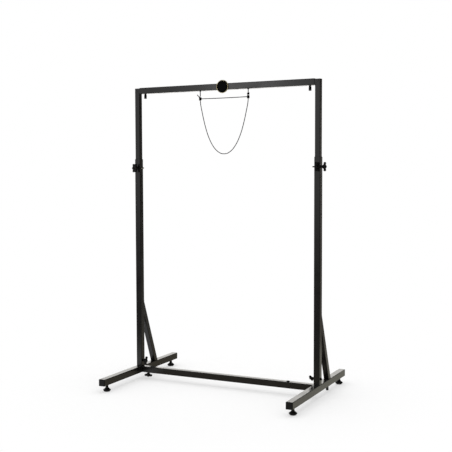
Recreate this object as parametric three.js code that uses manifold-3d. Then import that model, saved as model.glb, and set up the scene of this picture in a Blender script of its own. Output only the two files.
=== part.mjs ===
// Gong stand, in millimetres, +Z up.
// The origin is on the floor, midway between the four feet, and the front is towards -Y.
// Two feet carry square sleeves, and an upper frame of thinner tube slides in the sleeves.
import * as THREE from 'three';
import { mergeVertices } from 'three/addons/utils/BufferGeometryUtils.js';
import Module from 'manifold-3d';

const wasm = await Module();
wasm.setup();

// Driving dimensions of the frame
const postSpacing = 1110;
const legLength = 818;
const lowerPostLength = 1217;
const barRise = 394;
const footHeight = 38;

// Clearances
const seatGap = 0.3;
const slideGap = 0.5;
const boltGap = 0.5;
const cutOverrun = 5;

// Square tubes: outer size, wall and outer corner radius
const leg = { size: 38, wall: 2, corner: 3 };
const outer = { size: 35, wall: 2, corner: 3 };
const inner = { size: outer.size - 2 * outer.wall - 2 * slideGap, wall: 2, corner: 2.5 };

// Ends of the tubes that fit inside others
const barEndGap = 2.5;
const stubReach = 95;
const spigotReach = 90;
const spigotHeight = 110;

// Adjusting holes in the sleeves and the upper posts, counted from the lock bolt
const holePitch = 50;
const lockDrop = 52;
const sleeveHoles = 6;
const holesAboveLock = 7;
const holesBelowLock = 6;
const lastHoleEdge = 23;

// M8 screws, their nuts, and the round bosses welded where a clamp screw goes in
const boltRadius = 4;
const nut = { across: 13, height: 5 };
const boss = { radius: 6, height: 4 };

// T-shaped knob: a hub on a stout neck, with a round lobe at the end of each wing
const knob = {
  height: 27.5,
  faceRadius: 7,
  hubRadius: 7.5,
  hubRound: 1.5,
  neckHeight: 12,
  flareHalf: 12,
  wingSpan: 49,
  wingCentre: 19,
  lobeRadius: 6.5,
  webHalf: 5,
  wingThickness: 12,
  bevel: 2.5,
  socketTop: 20,
};

// Places of the knobs, and how far bolts stick out on the far side
const crossbarKnobRoom = 8;
const barKnobInset = 30;
const postFootRaise = 30;
const lockTip = 15;
const footTip = 7.5;
const knobTurns = {
  leftBar: THREE.MathUtils.degToRad(58),
  rightBar: THREE.MathUtils.degToRad(70),
  brace: THREE.MathUtils.degToRad(70),
  leftPostFoot: THREE.MathUtils.degToRad(-20),
  rightPostFoot: THREE.MathUtils.degToRad(125),
};

// Brace: its lean, where its centre line meets the leg, and the plate in its foot
const brace = { lean: THREE.MathUtils.degToRad(21.5), footBack: 155, plateThickness: 4 };

// Levelling feet
const foot = {
  inset: 52,
  soleRadius: 15,
  rimRadius: 21.5,
  rimLow: 7.5,
  rimHigh: 10.5,
  neckHeight: 22,
  hubRadius: 7.5,
  shoulder: 3,
  studShowing: 2.5,
  studLength: 48,
  socketDepth: 18,
};

// End caps of the legs
const cap = { flange: 4, plugDepth: 20, plugWall: 2, bevel: 1, plugGap: 0.4 };

// Hooks screwed up into the bar
const hook = {
  offset: 148,
  wireRadius: 2.5,
  bowlRadius: 6,
  stem: 28,
  collarRadius: 5,
  collarHeight: 2,
  shank: 10,
  turn: THREE.MathUtils.degToRad(240),
  nutAcross: 8,
  nutHeight: 4,
};

// Badge on the bar: a thin plate, slightly domed, in a ring
const badge = { radius: 36, ringWidth: 3, ringDepth: 4, ringBevel: 1, plateEdge: 2, plateMiddle: 3 };

// Snap-in plug on top of the crossbar
const plug = { fromEnd: 151, headRadius: 9.5, headHeight: 4.5, stemRadius: 6, stemDepth: 7 };
const plugHeadShares = [[1, 0], [0.92, 0.5], [0.6, 0.9]];

// Cord, its knots at the hooks, and its route
const cordRadius = 2.25;
const knot = { radius: 8, halfHeight: 12.5, drop: 43 };
const tieRoute = [
  [-139.7, 0, 1626.8],
  [0, 0, 1625.8],
  [139.7, 0, 1626.8],
];
const tailRoute = [
  [-154.4, 4.1, 1632.5],
  [-158.7, 6.8, 1636.6],
  [-163.3, 9.6, 1640.7],
  [-167.9, 12.5, 1644.6],
  [-172.6, 15.4, 1648.3],
  [-177.2, 18.2, 1651.8],
];
const loopRoute = [
  [-148, 0, 1614],
  [-145, 0, 1590],
  [-138, 0, 1557],
  [-128, 0, 1513],
  [-115, 0, 1465],
  [-100, 0, 1421],
  [-80, 0, 1379],
  [-60, 0, 1350],
  [-40, 0, 1331],
  [-20, 0, 1320],
  [0, 0, 1317],
  [20, 0, 1320],
  [40, 0, 1331],
  [60, 0, 1350],
  [80, 0, 1379],
  [100, 0, 1421],
  [115, 0, 1465],
  [128, 0, 1513],
  [138, 0, 1557],
  [145, 0, 1590],
  [148, 0, 1614],
];

// Counts of steps on round shapes
const cornerSteps = 1;
const holeSides = 8;
const boltSides = 10;
const hubSides = 12;
const lobeSteps = 3;
const bevelSteps = 1;
const padSides = 20;
const wireSides = 6;
const hookSteps = 10;
const badgeSides = 32;
const hexSides = 6;
const knotSides = 8;
const cordSides = 8;
const cordStep = 13;

// Levels and places worked out from the sizes above
const legTop = footHeight + leg.size;
const legCentre = footHeight + leg.size / 2;
const legTubeLength = legLength - 2 * (cap.flange + seatGap);
const postX = postSpacing / 2;
const legFace = postX - leg.size / 2;
const footY = legLength / 2 - foot.inset;
const outerHalf = outer.size / 2;
const innerHalf = inner.size / 2;
const holeRadius = boltRadius + boltGap;
const crossbarHalf = legFace - seatGap;
const crossbarKnobX = crossbarHalf - knob.wingSpan / 2 - crossbarKnobRoom;
const postBase = legTop + seatGap;
const mouth = postBase + lowerPostLength;
const lockLevel = mouth - lockDrop;
const postFootLevel = legTop + postFootRaise;
const barCentre = mouth + barRise;
const barUnder = barCentre - outerHalf;
const barHalf = postX - innerHalf - barEndGap;
const barKnobX = barHalf - barKnobInset;
const upperPostBottom = -lockDrop - holesBelowLock * holePitch - lastHoleEdge;
const overBoss = boss.height + seatGap;
const clampReach = outerHalf - innerHalf - seatGap;

const sides = [['left', -1], ['right', 1]];
const ends = [['front', -1], ['rear', 1]];

// Rotations that turn +Z the way a piece faces
const facing = {
  left: [0, -Math.PI / 2, 0],
  right: [0, Math.PI / 2, 0],
  front: [Math.PI / 2, 0, 0],
  rear: [-Math.PI / 2, 0, 0],
  down: [Math.PI, 0, 0],
  up: [0, 0, 0],
};

const powderCoat = new THREE.MeshStandardMaterial({ color: 0x242426, roughness: 0.35, metalness: 0.2 });
const blackPlastic = new THREE.MeshStandardMaterial({ color: 0x121213, roughness: 0.5, metalness: 0 });
const blackRubber = new THREE.MeshStandardMaterial({ color: 0x101010, roughness: 0.7, metalness: 0 });
const zincSteel = new THREE.MeshStandardMaterial({ color: 0xb9b6ae, roughness: 0.35, metalness: 1 });
const blackSteel = new THREE.MeshStandardMaterial({ color: 0x161617, roughness: 0.4, metalness: 0.6 });
const mattBlack = new THREE.MeshStandardMaterial({ color: 0x060606, roughness: 0.6, metalness: 0 });
const brassRing = new THREE.MeshStandardMaterial({ color: 0xb89b52, roughness: 0.3, metalness: 1 });
const braidedCord = new THREE.MeshStandardMaterial({ color: 0x1b1b1c, roughness: 0.85, metalness: 0 });

const stand = new THREE.Group();

function place(name, geometry, material, position = [0, 0, 0], rotation = facing.up) {
  const mesh = new THREE.Mesh(geometry, material);
  mesh.name = name;
  mesh.position.set(...position);
  mesh.rotation.set(...rotation);
  stand.add(mesh);
}

// Closed geometry to a solid that can be cut and joined, and back again
function solid(geometry) {
  const bare = geometry.clone();
  bare.deleteAttribute('normal');
  bare.deleteAttribute('uv');
  const merged = mergeVertices(bare);
  return new wasm.Manifold(new wasm.Mesh({
    numProp: 3,
    vertProperties: new Float32Array(merged.attributes.position.array),
    triVerts: new Uint32Array(merged.index.array),
  }));
}

function skin(body) {
  const mesh = body.getMesh();
  const geometry = new THREE.BufferGeometry();
  geometry.setAttribute('position', new THREE.BufferAttribute(new Float32Array(mesh.vertProperties), 3));
  geometry.setIndex(new THREE.BufferAttribute(new Uint32Array(mesh.triVerts), 1));
  geometry.computeVertexNormals();
  return geometry;
}

const join = (first, ...rest) => rest.reduce((sum, next) => sum.add(next), first);
const cut = (first, ...rest) => rest.reduce((left, next) => left.subtract(next), first);

// Square with round corners, centred on the origin
function squareOutline(size, corner, Outline = THREE.Shape) {
  const half = size / 2;
  const flat = half - corner;
  const outline = new Outline();
  outline.moveTo(half, -flat);
  outline.absarc(flat, flat, corner, 0, Math.PI / 2);
  outline.absarc(-flat, flat, corner, Math.PI / 2, Math.PI);
  outline.absarc(-flat, -flat, corner, Math.PI, Math.PI * 1.5);
  outline.absarc(flat, -flat, corner, Math.PI * 1.5, Math.PI * 2);
  return outline;
}

// Square tube from the origin along +Z
function squareTube(profile, length) {
  const shape = squareOutline(profile.size, profile.corner);
  const bore = profile.size - 2 * profile.wall;
  shape.holes.push(squareOutline(bore, profile.corner - profile.wall / 2, THREE.Path));
  return new THREE.ExtrudeGeometry(shape, { depth: length, bevelEnabled: false, curveSegments: cornerSteps });
}

// Round rod centred on a point, along the named axis
function rod(radius, length, axis, centre, count = holeSides) {
  const geometry = new THREE.CylinderGeometry(radius, radius, length, count);
  if (axis === 'x') geometry.rotateZ(Math.PI / 2);
  if (axis === 'z') geometry.rotateX(Math.PI / 2);
  return solid(geometry.translate(...centre));
}

const block = (size, centre) => solid(new THREE.BoxGeometry(...size).translate(...centre));

// Turned shape about +Z from a list of [radius, height]
function lathe(profile, count) {
  const points = profile.map(([radius, height]) => new THREE.Vector2(radius, height));
  return new THREE.LatheGeometry(points, count).rotateX(Math.PI / 2);
}

// Hexagon nut from the origin along +Z with a clear bore
const cornerRadius = (across) => across / 2 / Math.cos(Math.PI / hexSides);

function nutGeometry(across, height, bore) {
  const hexagon = rod(cornerRadius(across), height, 'z', [0, 0, height / 2], hexSides);
  return skin(cut(hexagon, rod(bore, height + cutOverrun, 'z', [0, 0, height / 2], hubSides)));
}

// Round boss that is welded on a tube wall, its root halfway into the wall
function weldBoss(axis, at, sign) {
  const root = outer.wall / 2;
  const centre = [...at];
  centre['xyz'.indexOf(axis)] = sign * (outerHalf + (boss.height - root) / 2);
  return rod(boss.radius, boss.height + root, axis, centre, hubSides);
}

// Adds a turn about a piece's own axis to the way that it faces
function turned(base, angle) {
  const outward = new THREE.Matrix4().makeRotationFromEuler(new THREE.Euler(...base));
  const whole = outward.multiply(new THREE.Matrix4().makeRotationZ(angle));
  const euler = new THREE.Euler().setFromRotationMatrix(whole);
  return [euler.x, euler.y, euler.z];
}

// Knob over a face at the origin: its hub along +Z, its wings along X, its neck from standOff up
function knobSolid(standOff) {
  const k = knob;
  const neckRadius = THREE.MathUtils.lerp(k.faceRadius, k.hubRadius, standOff / k.neckHeight);
  const hub = lathe([
    [0, standOff],
    [neckRadius, standOff],
    [k.hubRadius, k.neckHeight],
    [k.hubRadius, k.height - k.hubRound],
    [k.hubRadius - k.hubRound, k.height],
    [0, k.height],
  ], hubSides);
  const lobeX = k.wingSpan / 2 - k.lobeRadius;
  const sweep = Math.PI - Math.asin(k.webHalf / k.lobeRadius);
  const flareLow = -k.wingCentre + k.neckHeight - k.flareHalf + k.faceRadius;
  const outline = new THREE.Shape();
  outline.moveTo(-k.faceRadius, flareLow);
  outline.lineTo(k.faceRadius, flareLow);
  outline.lineTo(k.flareHalf, k.neckHeight - k.wingCentre);
  outline.absarc(lobeX, 0, k.lobeRadius, -sweep, sweep);
  outline.absarc(-lobeX, 0, k.lobeRadius, Math.PI - sweep, Math.PI + sweep);
  outline.lineTo(-k.flareHalf, k.neckHeight - k.wingCentre);
  const wings = new THREE.ExtrudeGeometry(outline, {
    depth: k.wingThickness - 2 * k.bevel,
    bevelThickness: k.bevel,
    bevelSize: k.bevel,
    bevelOffset: -k.bevel,
    bevelSegments: bevelSteps,
    curveSegments: lobeSteps,
  });
  wings.translate(0, 0, k.bevel - k.wingThickness / 2).rotateX(Math.PI / 2).translate(0, 0, k.wingCentre);
  return join(solid(hub), solid(wings));
}

// Knob with its screw moulded in, the screw reaching back past the face
function clampScrew(standOff, reach) {
  const length = reach + knob.neckHeight;
  const screw = rod(boltRadius, length, 'z', [0, 0, knob.neckHeight - length / 2], boltSides);
  return skin(join(knobSolid(standOff), screw));
}

// Knob with a blind socket for a long bolt, and that bolt
function socketKnob(standOff) {
  const depth = knob.socketTop + cutOverrun;
  const socket = rod(boltRadius + seatGap, depth, 'z', [0, 0, knob.socketTop - depth / 2], boltSides);
  return skin(cut(knobSolid(standOff), socket));
}

function longBolt(reach) {
  const top = knob.socketTop - seatGap;
  const bolt = new THREE.CylinderGeometry(boltRadius, boltRadius, reach + top, boltSides);
  return bolt.rotateX(Math.PI / 2).translate(0, 0, (top - reach) / 2);
}

// Leg tube along Y with nuts welded in for the studs, and holes for the studs and the brace screw
function legGeometry() {
  const tube = squareTube(leg, legTubeLength).rotateX(-Math.PI / 2).translate(0, -legTubeLength / 2, 0);
  const under = -leg.size / 2;
  const nutBody = nut.height + leg.wall / 2;
  const nutLevel = under + leg.wall / 2 + nutBody / 2;
  const nuts = ends.map(([, back]) => (
    rod(cornerRadius(nut.across), nutBody, 'z', [0, back * footY, nutLevel], hexSides)));
  const deep = 2 * (leg.wall + nut.height + cutOverrun);
  const studHoles = ends.map(([, back]) => rod(holeRadius, deep, 'z', [0, back * footY, under]));
  const braceHole = rod(holeRadius, leg.size + cutOverrun, 'z', [0, brace.footBack, 0]);
  return skin(cut(join(solid(tube), ...nuts), ...studHoles, braceHole));
}

// End cap: a flange with a rounded edge, and a hollow plug behind it
function capGeometry() {
  const flange = new THREE.ExtrudeGeometry(squareOutline(leg.size, leg.corner), {
    depth: cap.flange - cap.bevel,
    bevelThickness: cap.bevel,
    bevelSize: cap.bevel,
    bevelOffset: -cap.bevel,
    bevelSegments: bevelSteps,
    curveSegments: cornerSteps,
  });
  const wide = leg.size + cutOverrun;
  const behind = block([wide, wide, cutOverrun], [0, 0, -cutOverrun / 2]);
  const plugSize = leg.size - 2 * leg.wall - 2 * cap.plugGap;
  const plugTube = { size: plugSize, wall: cap.plugWall, corner: leg.corner - cap.plugGap };
  const stem = squareTube(plugTube, cap.plugDepth + cap.bevel).translate(0, 0, -cap.plugDepth);
  return skin(join(cut(solid(flange), behind), solid(stem)));
}

function padGeometry() {
  const top = footHeight - foot.studShowing;
  const bore = boltRadius + seatGap;
  return lathe([
    [0, 0],
    [foot.soleRadius, 0],
    [foot.rimRadius, foot.rimLow],
    [foot.rimRadius, foot.rimHigh],
    [foot.hubRadius + foot.shoulder, foot.neckHeight - foot.shoulder],
    [foot.hubRadius, foot.neckHeight + foot.shoulder],
    [foot.hubRadius, top],
    [bore, top],
    [bore, top - foot.socketDepth],
    [0, top - foot.socketDepth],
  ], padSides);
}

function studGeometry() {
  const stud = new THREE.CylinderGeometry(boltRadius, boltRadius, foot.studLength, boltSides);
  return stud.rotateX(Math.PI / 2).translate(0, 0, foot.studLength / 2);
}

function addLegs() {
  const studBase = footHeight - foot.studShowing - foot.socketDepth + seatGap;
  for (const [side, sign] of sides) {
    const x = sign * postX;
    place(`${side}_leg`, legGeometry(), powderCoat, [x, 0, legCentre]);
    for (const [end, back] of ends) {
      const capY = back * (legLength / 2 - cap.flange);
      place(`${end}_${side}_cap`, capGeometry(), blackPlastic, [x, capY, legCentre], facing[end]);
      place(`${end}_${side}_foot_pad`, padGeometry(), blackRubber, [x, back * footY, 0]);
      place(`${end}_${side}_foot_stud`, studGeometry(), zincSteel, [x, back * footY, studBase]);
    }
  }
}

// Level tube with a clamp boss and its hole under each end
function levelTube(half, knobX) {
  const tube = solid(squareTube(outer, 2 * half).rotateY(Math.PI / 2).translate(-half, 0, 0));
  const bosses = sides.map(([, sign]) => weldBoss('z', [sign * knobX, 0, 0], -1));
  const deep = 2 * (boss.height + cutOverrun);
  const holes = sides.map(([, sign]) => rod(holeRadius, deep, 'z', [sign * knobX, 0, -outerHalf]));
  return cut(join(tube, ...bosses), ...holes);
}

// Crossbar over its two spigots, with a clamp screw under each end
function addCrossbar() {
  const bar = levelTube(crossbarHalf, crossbarKnobX);
  const wallCut = outer.wall + cutOverrun;
  const plugX = crossbarHalf - plug.fromEnd;
  const plugHole = rod(plug.stemRadius + seatGap, wallCut, 'z', [plugX, 0, outerHalf], hubSides);
  place('crossbar', skin(cut(bar, plugHole)), powderCoat, [0, 0, legCentre]);
  const under = legCentre - outerHalf;
  for (const [side, sign] of sides) {
    const spigot = squareTube(inner, spigotReach).rotateY(sign * -Math.PI / 2);
    place(`${side}_crossbar_spigot`, spigot, powderCoat, [sign * crossbarHalf, 0, legCentre]);
    const screw = clampScrew(overBoss, clampReach);
    place(`${side}_crossbar_knob`, screw, blackPlastic, [sign * crossbarKnobX, 0, under], facing.down);
  }
  const head = plugHeadShares.map(([radius, height]) => (
    [radius * plug.headRadius, seatGap + height * plug.headHeight]));
  const dome = lathe([
    [0, -plug.stemDepth],
    [plug.stemRadius, -plug.stemDepth],
    [plug.stemRadius, seatGap],
    ...head,
    [0, seatGap + plug.headHeight],
  ], hubSides);
  place('crossbar_plug', dome, blackPlastic, [plugX, 0, legCentre + outerHalf]);
}

// Sleeve post from its foot up, with two clamp bosses and the row of adjusting holes below its mouth
function lowerPostGeometry(sign) {
  const through = outer.size + 2 * (boss.height + cutOverrun);
  const lockHole = lowerPostLength - lockDrop;
  const lockBoss = weldBoss('x', [0, 0, lockHole], sign);
  const frontBoss = weldBoss('y', [0, 0, lockHole], -1);
  const holes = Array.from({ length: sleeveHoles }, (_, i) => (
    rod(holeRadius, through, 'x', [0, 0, lockHole - i * holePitch])));
  const footHole = rod(holeRadius, through, 'x', [0, 0, postFootLevel - postBase]);
  const frontHole = rod(holeRadius, 2 * (boss.height + cutOverrun), 'y', [0, -outerHalf, lockHole]);
  const tube = join(solid(squareTube(outer, lowerPostLength)), lockBoss, frontBoss);
  return skin(cut(tube, ...holes, footHole, frontHole));
}

function postSpigotGeometry() {
  const hole = rod(holeRadius, inner.size + cutOverrun, 'x', [0, 0, postFootLevel - postBase]);
  return skin(cut(solid(squareTube(inner, spigotHeight)), hole));
}

// Brace: a leaning tube cut flat by the leg under it and by the post before it, with a threaded
// plate welded in its foot
function braceGeometry() {
  const postBack = outerHalf + seatGap;
  const length = (brace.footBack - postBack) / Math.sin(brace.lean);
  const spare = inner.size;
  const whole = length + 2 * spare;
  const lean = (geometry) => solid(geometry.rotateX(brace.lean).translate(0, brace.footBack, 0));
  const tube = lean(squareTube(inner, whole).translate(0, 0, -spare));
  const core = inner.size - inner.wall;
  const wide = 2 * length;
  const slab = block([wide, wide, brace.plateThickness], [0, brace.footBack, brace.plateThickness / 2]);
  const plate = lean(new THREE.BoxGeometry(core, core, 2 * spare)).intersect(slab);
  const below = block([wide, wide, wide], [0, brace.footBack, -wide / 2]);
  const before = block([wide, wide, 2 * wide], [0, postBack - wide / 2, 0]);
  const hole = rod(holeRadius, 2 * (brace.plateThickness + cutOverrun), 'z', [0, brace.footBack, 0]);
  return skin(cut(join(tube, plate), below, before, hole));
}

function addPosts() {
  for (const [side, sign] of sides) {
    const x = sign * postX;
    const inward = sign > 0 ? 'left' : 'right';
    place(`${side}_lower_post`, lowerPostGeometry(sign), powderCoat, [x, 0, postBase]);
    place(`${side}_post_spigot`, postSpigotGeometry(), powderCoat, [x, 0, postBase]);
    place(`${side}_brace`, braceGeometry(), powderCoat, [x, 0, postBase]);

    const lockAt = [x + sign * outerHalf, 0, lockLevel];
    place(`${side}_lock_knob`, socketKnob(overBoss), blackPlastic, lockAt, facing[side]);
    place(`${side}_lock_bolt`, longBolt(outer.size + lockTip), zincSteel, lockAt, facing[side]);

    const upright = turned(facing.front, Math.PI / 2);
    const clamp = clampScrew(overBoss, clampReach);
    place(`${side}_front_knob`, clamp, blackPlastic, [x, -outerHalf, lockLevel], upright);

    const footAt = [x - sign * outerHalf, 0, postFootLevel];
    const wings = turned(facing[inward], sign > 0 ? knobTurns.rightPostFoot : knobTurns.leftPostFoot);
    place(`${side}_foot_knob`, socketKnob(seatGap), blackPlastic, footAt, wings);
    place(`${side}_foot_bolt`, longBolt(outer.size + footTip), blackSteel, footAt, facing[inward]);
    const nutAt = [x + sign * (outerHalf + seatGap), 0, postFootLevel];
    const boltNut = nutGeometry(nut.across, nut.height, holeRadius);
    place(`${side}_foot_bolt_nut`, boltNut, blackSteel, nutAt, facing[side]);

    const braceScrew = clampScrew(seatGap, leg.size + seatGap + brace.plateThickness);
    const braceAt = [x, brace.footBack, footHeight];
    place(`${side}_brace_knob`, braceScrew, blackPlastic, braceAt, turned(facing.down, knobTurns.brace));
  }
}

// Mitred tube end: a square tube along +Z whose top is cut at 45 degrees, longest at +X
function mitredTube(profile, length) {
  const spare = profile.size;
  const wide = 4 * profile.size;
  const above = new THREE.BoxGeometry(wide, wide, wide)
    .translate(0, 0, wide / 2)
    .rotateY(-Math.PI / 4)
    .translate(0, 0, length - seatGap / 2);
  return cut(solid(squareTube(profile, length + spare)), solid(above));
}

// Upper post: its mitre meets that of the stub that the bar slides over
function upperPostGeometry() {
  const tube = mitredTube(inner, barRise - upperPostBottom);
  const holes = [];
  for (let step = -holesBelowLock; step <= holesAboveLock; step += 1) {
    const level = step * holePitch - lockDrop - upperPostBottom;
    holes.push(rod(holeRadius, inner.size + cutOverrun, 'x', [0, 0, level]));
  }
  return skin(cut(tube, ...holes));
}

function addUpperPosts() {
  const stubLength = postX - barHalf + stubReach;
  for (const [side, sign] of sides) {
    const x = sign * postX;
    const about = sign > 0 ? 0 : Math.PI;
    const postAt = [x, 0, mouth + upperPostBottom];
    place(`${side}_upper_post`, upperPostGeometry(), powderCoat, postAt, [0, 0, about]);
    const stub = skin(mitredTube(inner, stubLength)).translate(0, 0, -stubLength).rotateY(Math.PI / 2);
    place(`${side}_bar_stub`, stub, powderCoat, [x, 0, barCentre], [Math.PI, 0, about]);
  }
}

// Hook from a face at the origin down: shank above, collar, stem, and a bowl that opens to the rear
class BowlCurve extends THREE.Curve {
  getPoint(t, target = new THREE.Vector3()) {
    const angle = Math.PI / 2 + t * hook.turn;
    const middle = -hook.stem - hook.bowlRadius;
    return target.set(0, hook.bowlRadius * Math.cos(angle), middle + hook.bowlRadius * Math.sin(angle));
  }
}

function hookSolid(wireRadius) {
  const section = new THREE.Shape();
  section.absarc(0, 0, wireRadius, 0, Math.PI * 2);
  const bowl = new THREE.ExtrudeGeometry(section, {
    steps: hookSteps,
    curveSegments: wireSides / 2,
    extrudePath: new BowlCurve(),
  });
  const length = hook.shank + hook.stem;
  const stem = rod(wireRadius, length, 'z', [0, 0, hook.shank - length / 2], wireSides);
  const ball = new THREE.SphereGeometry(wireRadius, wireSides, wireSides);
  const bend = solid(ball.translate(0, 0, -hook.stem));
  const collarAt = [0, 0, -seatGap - hook.collarHeight / 2];
  const collar = rod(hook.collarRadius, hook.collarHeight, 'z', collarAt, hubSides);
  return join(solid(bowl), stem, bend, collar);
}

// Top bar over the two stubs, with its clamp screws and hooks underneath
function addTopBar() {
  const hookBore = hook.wireRadius + boltGap;
  const hookHoles = sides.map(([, sign]) => (
    rod(hookBore, outer.wall + cutOverrun, 'z', [sign * hook.offset, 0, -outerHalf])));
  place('top_bar', skin(cut(levelTube(barHalf, barKnobX), ...hookHoles)), powderCoat, [0, 0, barCentre]);
  for (const [side, sign] of sides) {
    const turn = turned(facing.down, sign > 0 ? knobTurns.rightBar : knobTurns.leftBar);
    const screw = clampScrew(overBoss, clampReach);
    place(`${side}_bar_knob`, screw, blackPlastic, [sign * barKnobX, 0, barUnder], turn);
    place(`${side}_hook`, skin(hookSolid(hook.wireRadius)), blackSteel, [sign * hook.offset, 0, barUnder]);
    const nutAt = [sign * hook.offset, 0, barUnder + outer.wall + seatGap];
    place(`${side}_hook_nut`, nutGeometry(hook.nutAcross, hook.nutHeight, hookBore), zincSteel, nutAt);
  }
}

function addBadge() {
  const at = [0, -outerHalf - seatGap, barCentre];
  const bore = badge.radius - badge.ringWidth;
  const plateRadius = bore - seatGap;
  const plate = lathe([
    [0, 0],
    [plateRadius, 0],
    [plateRadius, badge.plateEdge],
    [0, badge.plateMiddle],
  ], badgeSides);
  const ring = lathe([
    [bore, 0],
    [badge.radius, 0],
    [badge.radius, badge.ringDepth - badge.ringBevel],
    [badge.radius - badge.ringBevel, badge.ringDepth],
    [bore, badge.ringDepth],
    [bore, 0],
  ], badgeSides);
  place('badge_plate', plate, mattBlack, at, facing.front);
  place('badge_ring', ring, brassRing, at, facing.front);
}

// Cord stretches, each a tube along its route
function cordGeometry(route) {
  const points = route.map((point) => new THREE.Vector3(...point));
  const path = new THREE.CatmullRomCurve3(points, false, 'centripetal');
  const section = new THREE.Shape();
  section.absarc(0, 0, cordRadius, 0, Math.PI * 2);
  return new THREE.ExtrudeGeometry(section, {
    steps: Math.ceil(path.getLength() / cordStep),
    curveSegments: cordSides / 2,
    extrudePath: path,
  });
}

// Knots: the cord is wound round the bottom of each hook
function addCord() {
  for (const [side, sign] of sides) {
    const ball = new THREE.SphereGeometry(1, knotSides, knotSides);
    ball.rotateX(Math.PI / 2).scale(knot.radius, knot.radius, knot.halfHeight).translate(0, 0, -knot.drop);
    const wrapped = cut(solid(ball), hookSolid(hook.wireRadius + seatGap));
    place(`${side}_cord_knot`, skin(wrapped), braidedCord, [sign * hook.offset, 0, barUnder]);
  }
  place('cord_tie', cordGeometry(tieRoute), braidedCord);
  place('cord_tail', cordGeometry(tailRoute), braidedCord);
  place('cord_loop', cordGeometry(loopRoute), braidedCord);
}

addLegs();
addCrossbar();
addPosts();
addUpperPosts();
addTopBar();
addBadge();
addCord();

export default stand;
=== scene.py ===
import math
import bpy
import numpy as np
from mathutils import Matrix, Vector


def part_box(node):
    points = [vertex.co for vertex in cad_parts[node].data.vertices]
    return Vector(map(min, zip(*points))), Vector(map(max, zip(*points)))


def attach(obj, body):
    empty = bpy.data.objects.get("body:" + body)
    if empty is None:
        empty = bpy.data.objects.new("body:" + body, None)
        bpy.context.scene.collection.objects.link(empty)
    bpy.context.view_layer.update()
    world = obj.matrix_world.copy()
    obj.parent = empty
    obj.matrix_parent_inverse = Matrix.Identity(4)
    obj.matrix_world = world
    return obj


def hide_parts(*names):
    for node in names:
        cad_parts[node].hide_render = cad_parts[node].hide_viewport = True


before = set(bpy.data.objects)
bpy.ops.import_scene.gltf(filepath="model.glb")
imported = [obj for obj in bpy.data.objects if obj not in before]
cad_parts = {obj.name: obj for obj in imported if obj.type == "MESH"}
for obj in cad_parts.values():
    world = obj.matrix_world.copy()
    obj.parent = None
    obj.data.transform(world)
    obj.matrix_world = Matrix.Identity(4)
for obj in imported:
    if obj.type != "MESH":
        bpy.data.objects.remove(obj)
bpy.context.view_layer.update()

# Gong stand: black square tube, wing knobs, levelling feet, a round badge and a cord
# Shapes are worked out in millimetres in the frame's axes and go into the meshes in metres

mm = 0.001
seat = 0.3      # gap between pieces that touch
barFit = 2.5    # from the stub's skin to the bar's
sides = (("left", -1), ("right", 1))
ends = (("front", -1), ("rear", 1))
axisX, axisY, axisZ = np.eye(3)


def cadSpan(node):
    # lowest and highest corner of a frame node, in millimetres
    low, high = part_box(node)
    return np.array(low) / mm, np.array(high) / mm


def middle(node):
    # half way between a frame node's lowest and highest corner
    low, high = cadSpan(node)
    return (low + high) / 2


def unit(vectors):
    # vectors divided by their lengths
    return vectors / np.linalg.norm(vectors, axis=-1, keepdims=True)


def addObject(name, data):
    made = bpy.data.objects.new(name, data)
    bpy.context.scene.collection.objects.link(made)
    return made


def addMesh(name, points, faces):
    mesh = bpy.data.meshes.new(name)
    mesh.from_pydata(points.tolist(), [], faces)
    return addObject(name, mesh), mesh


def poseMatrix(across, above, back, place):
    # the columns are an object's own axes and its place
    pose = np.eye(4)
    pose[:3] = np.stack([across, above, back, place], -1)
    return Matrix(pose.tolist())


# Camera: stands to the right of the stand's middle line, at about chest height
view = {"place": (2.1245, -4.3175, 1.1912), "yaw": 26.089, "pitch": 3.292, "roll": -0.164,
        "lens": 68.63, "sensor": 36}


def addCamera():
    # looks along its yaw and pitch, and is turned about that line by its roll
    yaw, pitch, roll = (math.radians(view[key]) for key in ("yaw", "pitch", "roll"))
    right = np.array([math.cos(yaw), math.sin(yaw), 0])
    ahead = np.array([-math.sin(yaw) * math.cos(pitch), math.cos(yaw) * math.cos(pitch), -math.sin(pitch)])
    above = np.cross(right, ahead)
    turnedRight = math.cos(roll) * right + math.sin(roll) * above
    turnedUp = math.cos(roll) * above - math.sin(roll) * right
    data = bpy.data.cameras.new("camera")
    data.lens = view["lens"]
    data.sensor_width = view["sensor"]
    data.sensor_fit = "HORIZONTAL"
    camera = addObject("camera", data)
    camera.matrix_world = poseMatrix(turnedRight, turnedUp, -ahead, view["place"])
    bpy.context.scene.camera = camera


addCamera()
print("camera placed")


# Materials

def linearColour(hexText):
    # sRGB hex to linear red, green, blue and alpha
    parts = np.array([int(hexText[i:i + 2], 16) / 255 for i in (0, 2, 4)])
    parts = np.where(parts <= 0.04045, parts / 12.92, ((parts + 0.055) / 1.055) ** 2.4)
    return (*parts.tolist(), 1)


def addNode(tree, kind, inputs=None, **settings):
    # a node with its settings; an input is a value or a (node, output name) pair to link
    node = tree.nodes.new(f"ShaderNode{kind}")
    for key, value in settings.items():
        setattr(node, key, value)
    for key, value in (inputs or {}).items():
        if isinstance(value, tuple) and isinstance(value[0], bpy.types.Node):
            tree.links.new(value[0].outputs[value[1]], node.inputs[key])
        else:
            node.inputs[key].default_value = value
    return node


def newMaterial(name):
    material = bpy.data.materials.new(name)
    material.use_nodes = True
    material.node_tree.nodes.clear()
    return material, material.node_tree


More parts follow.
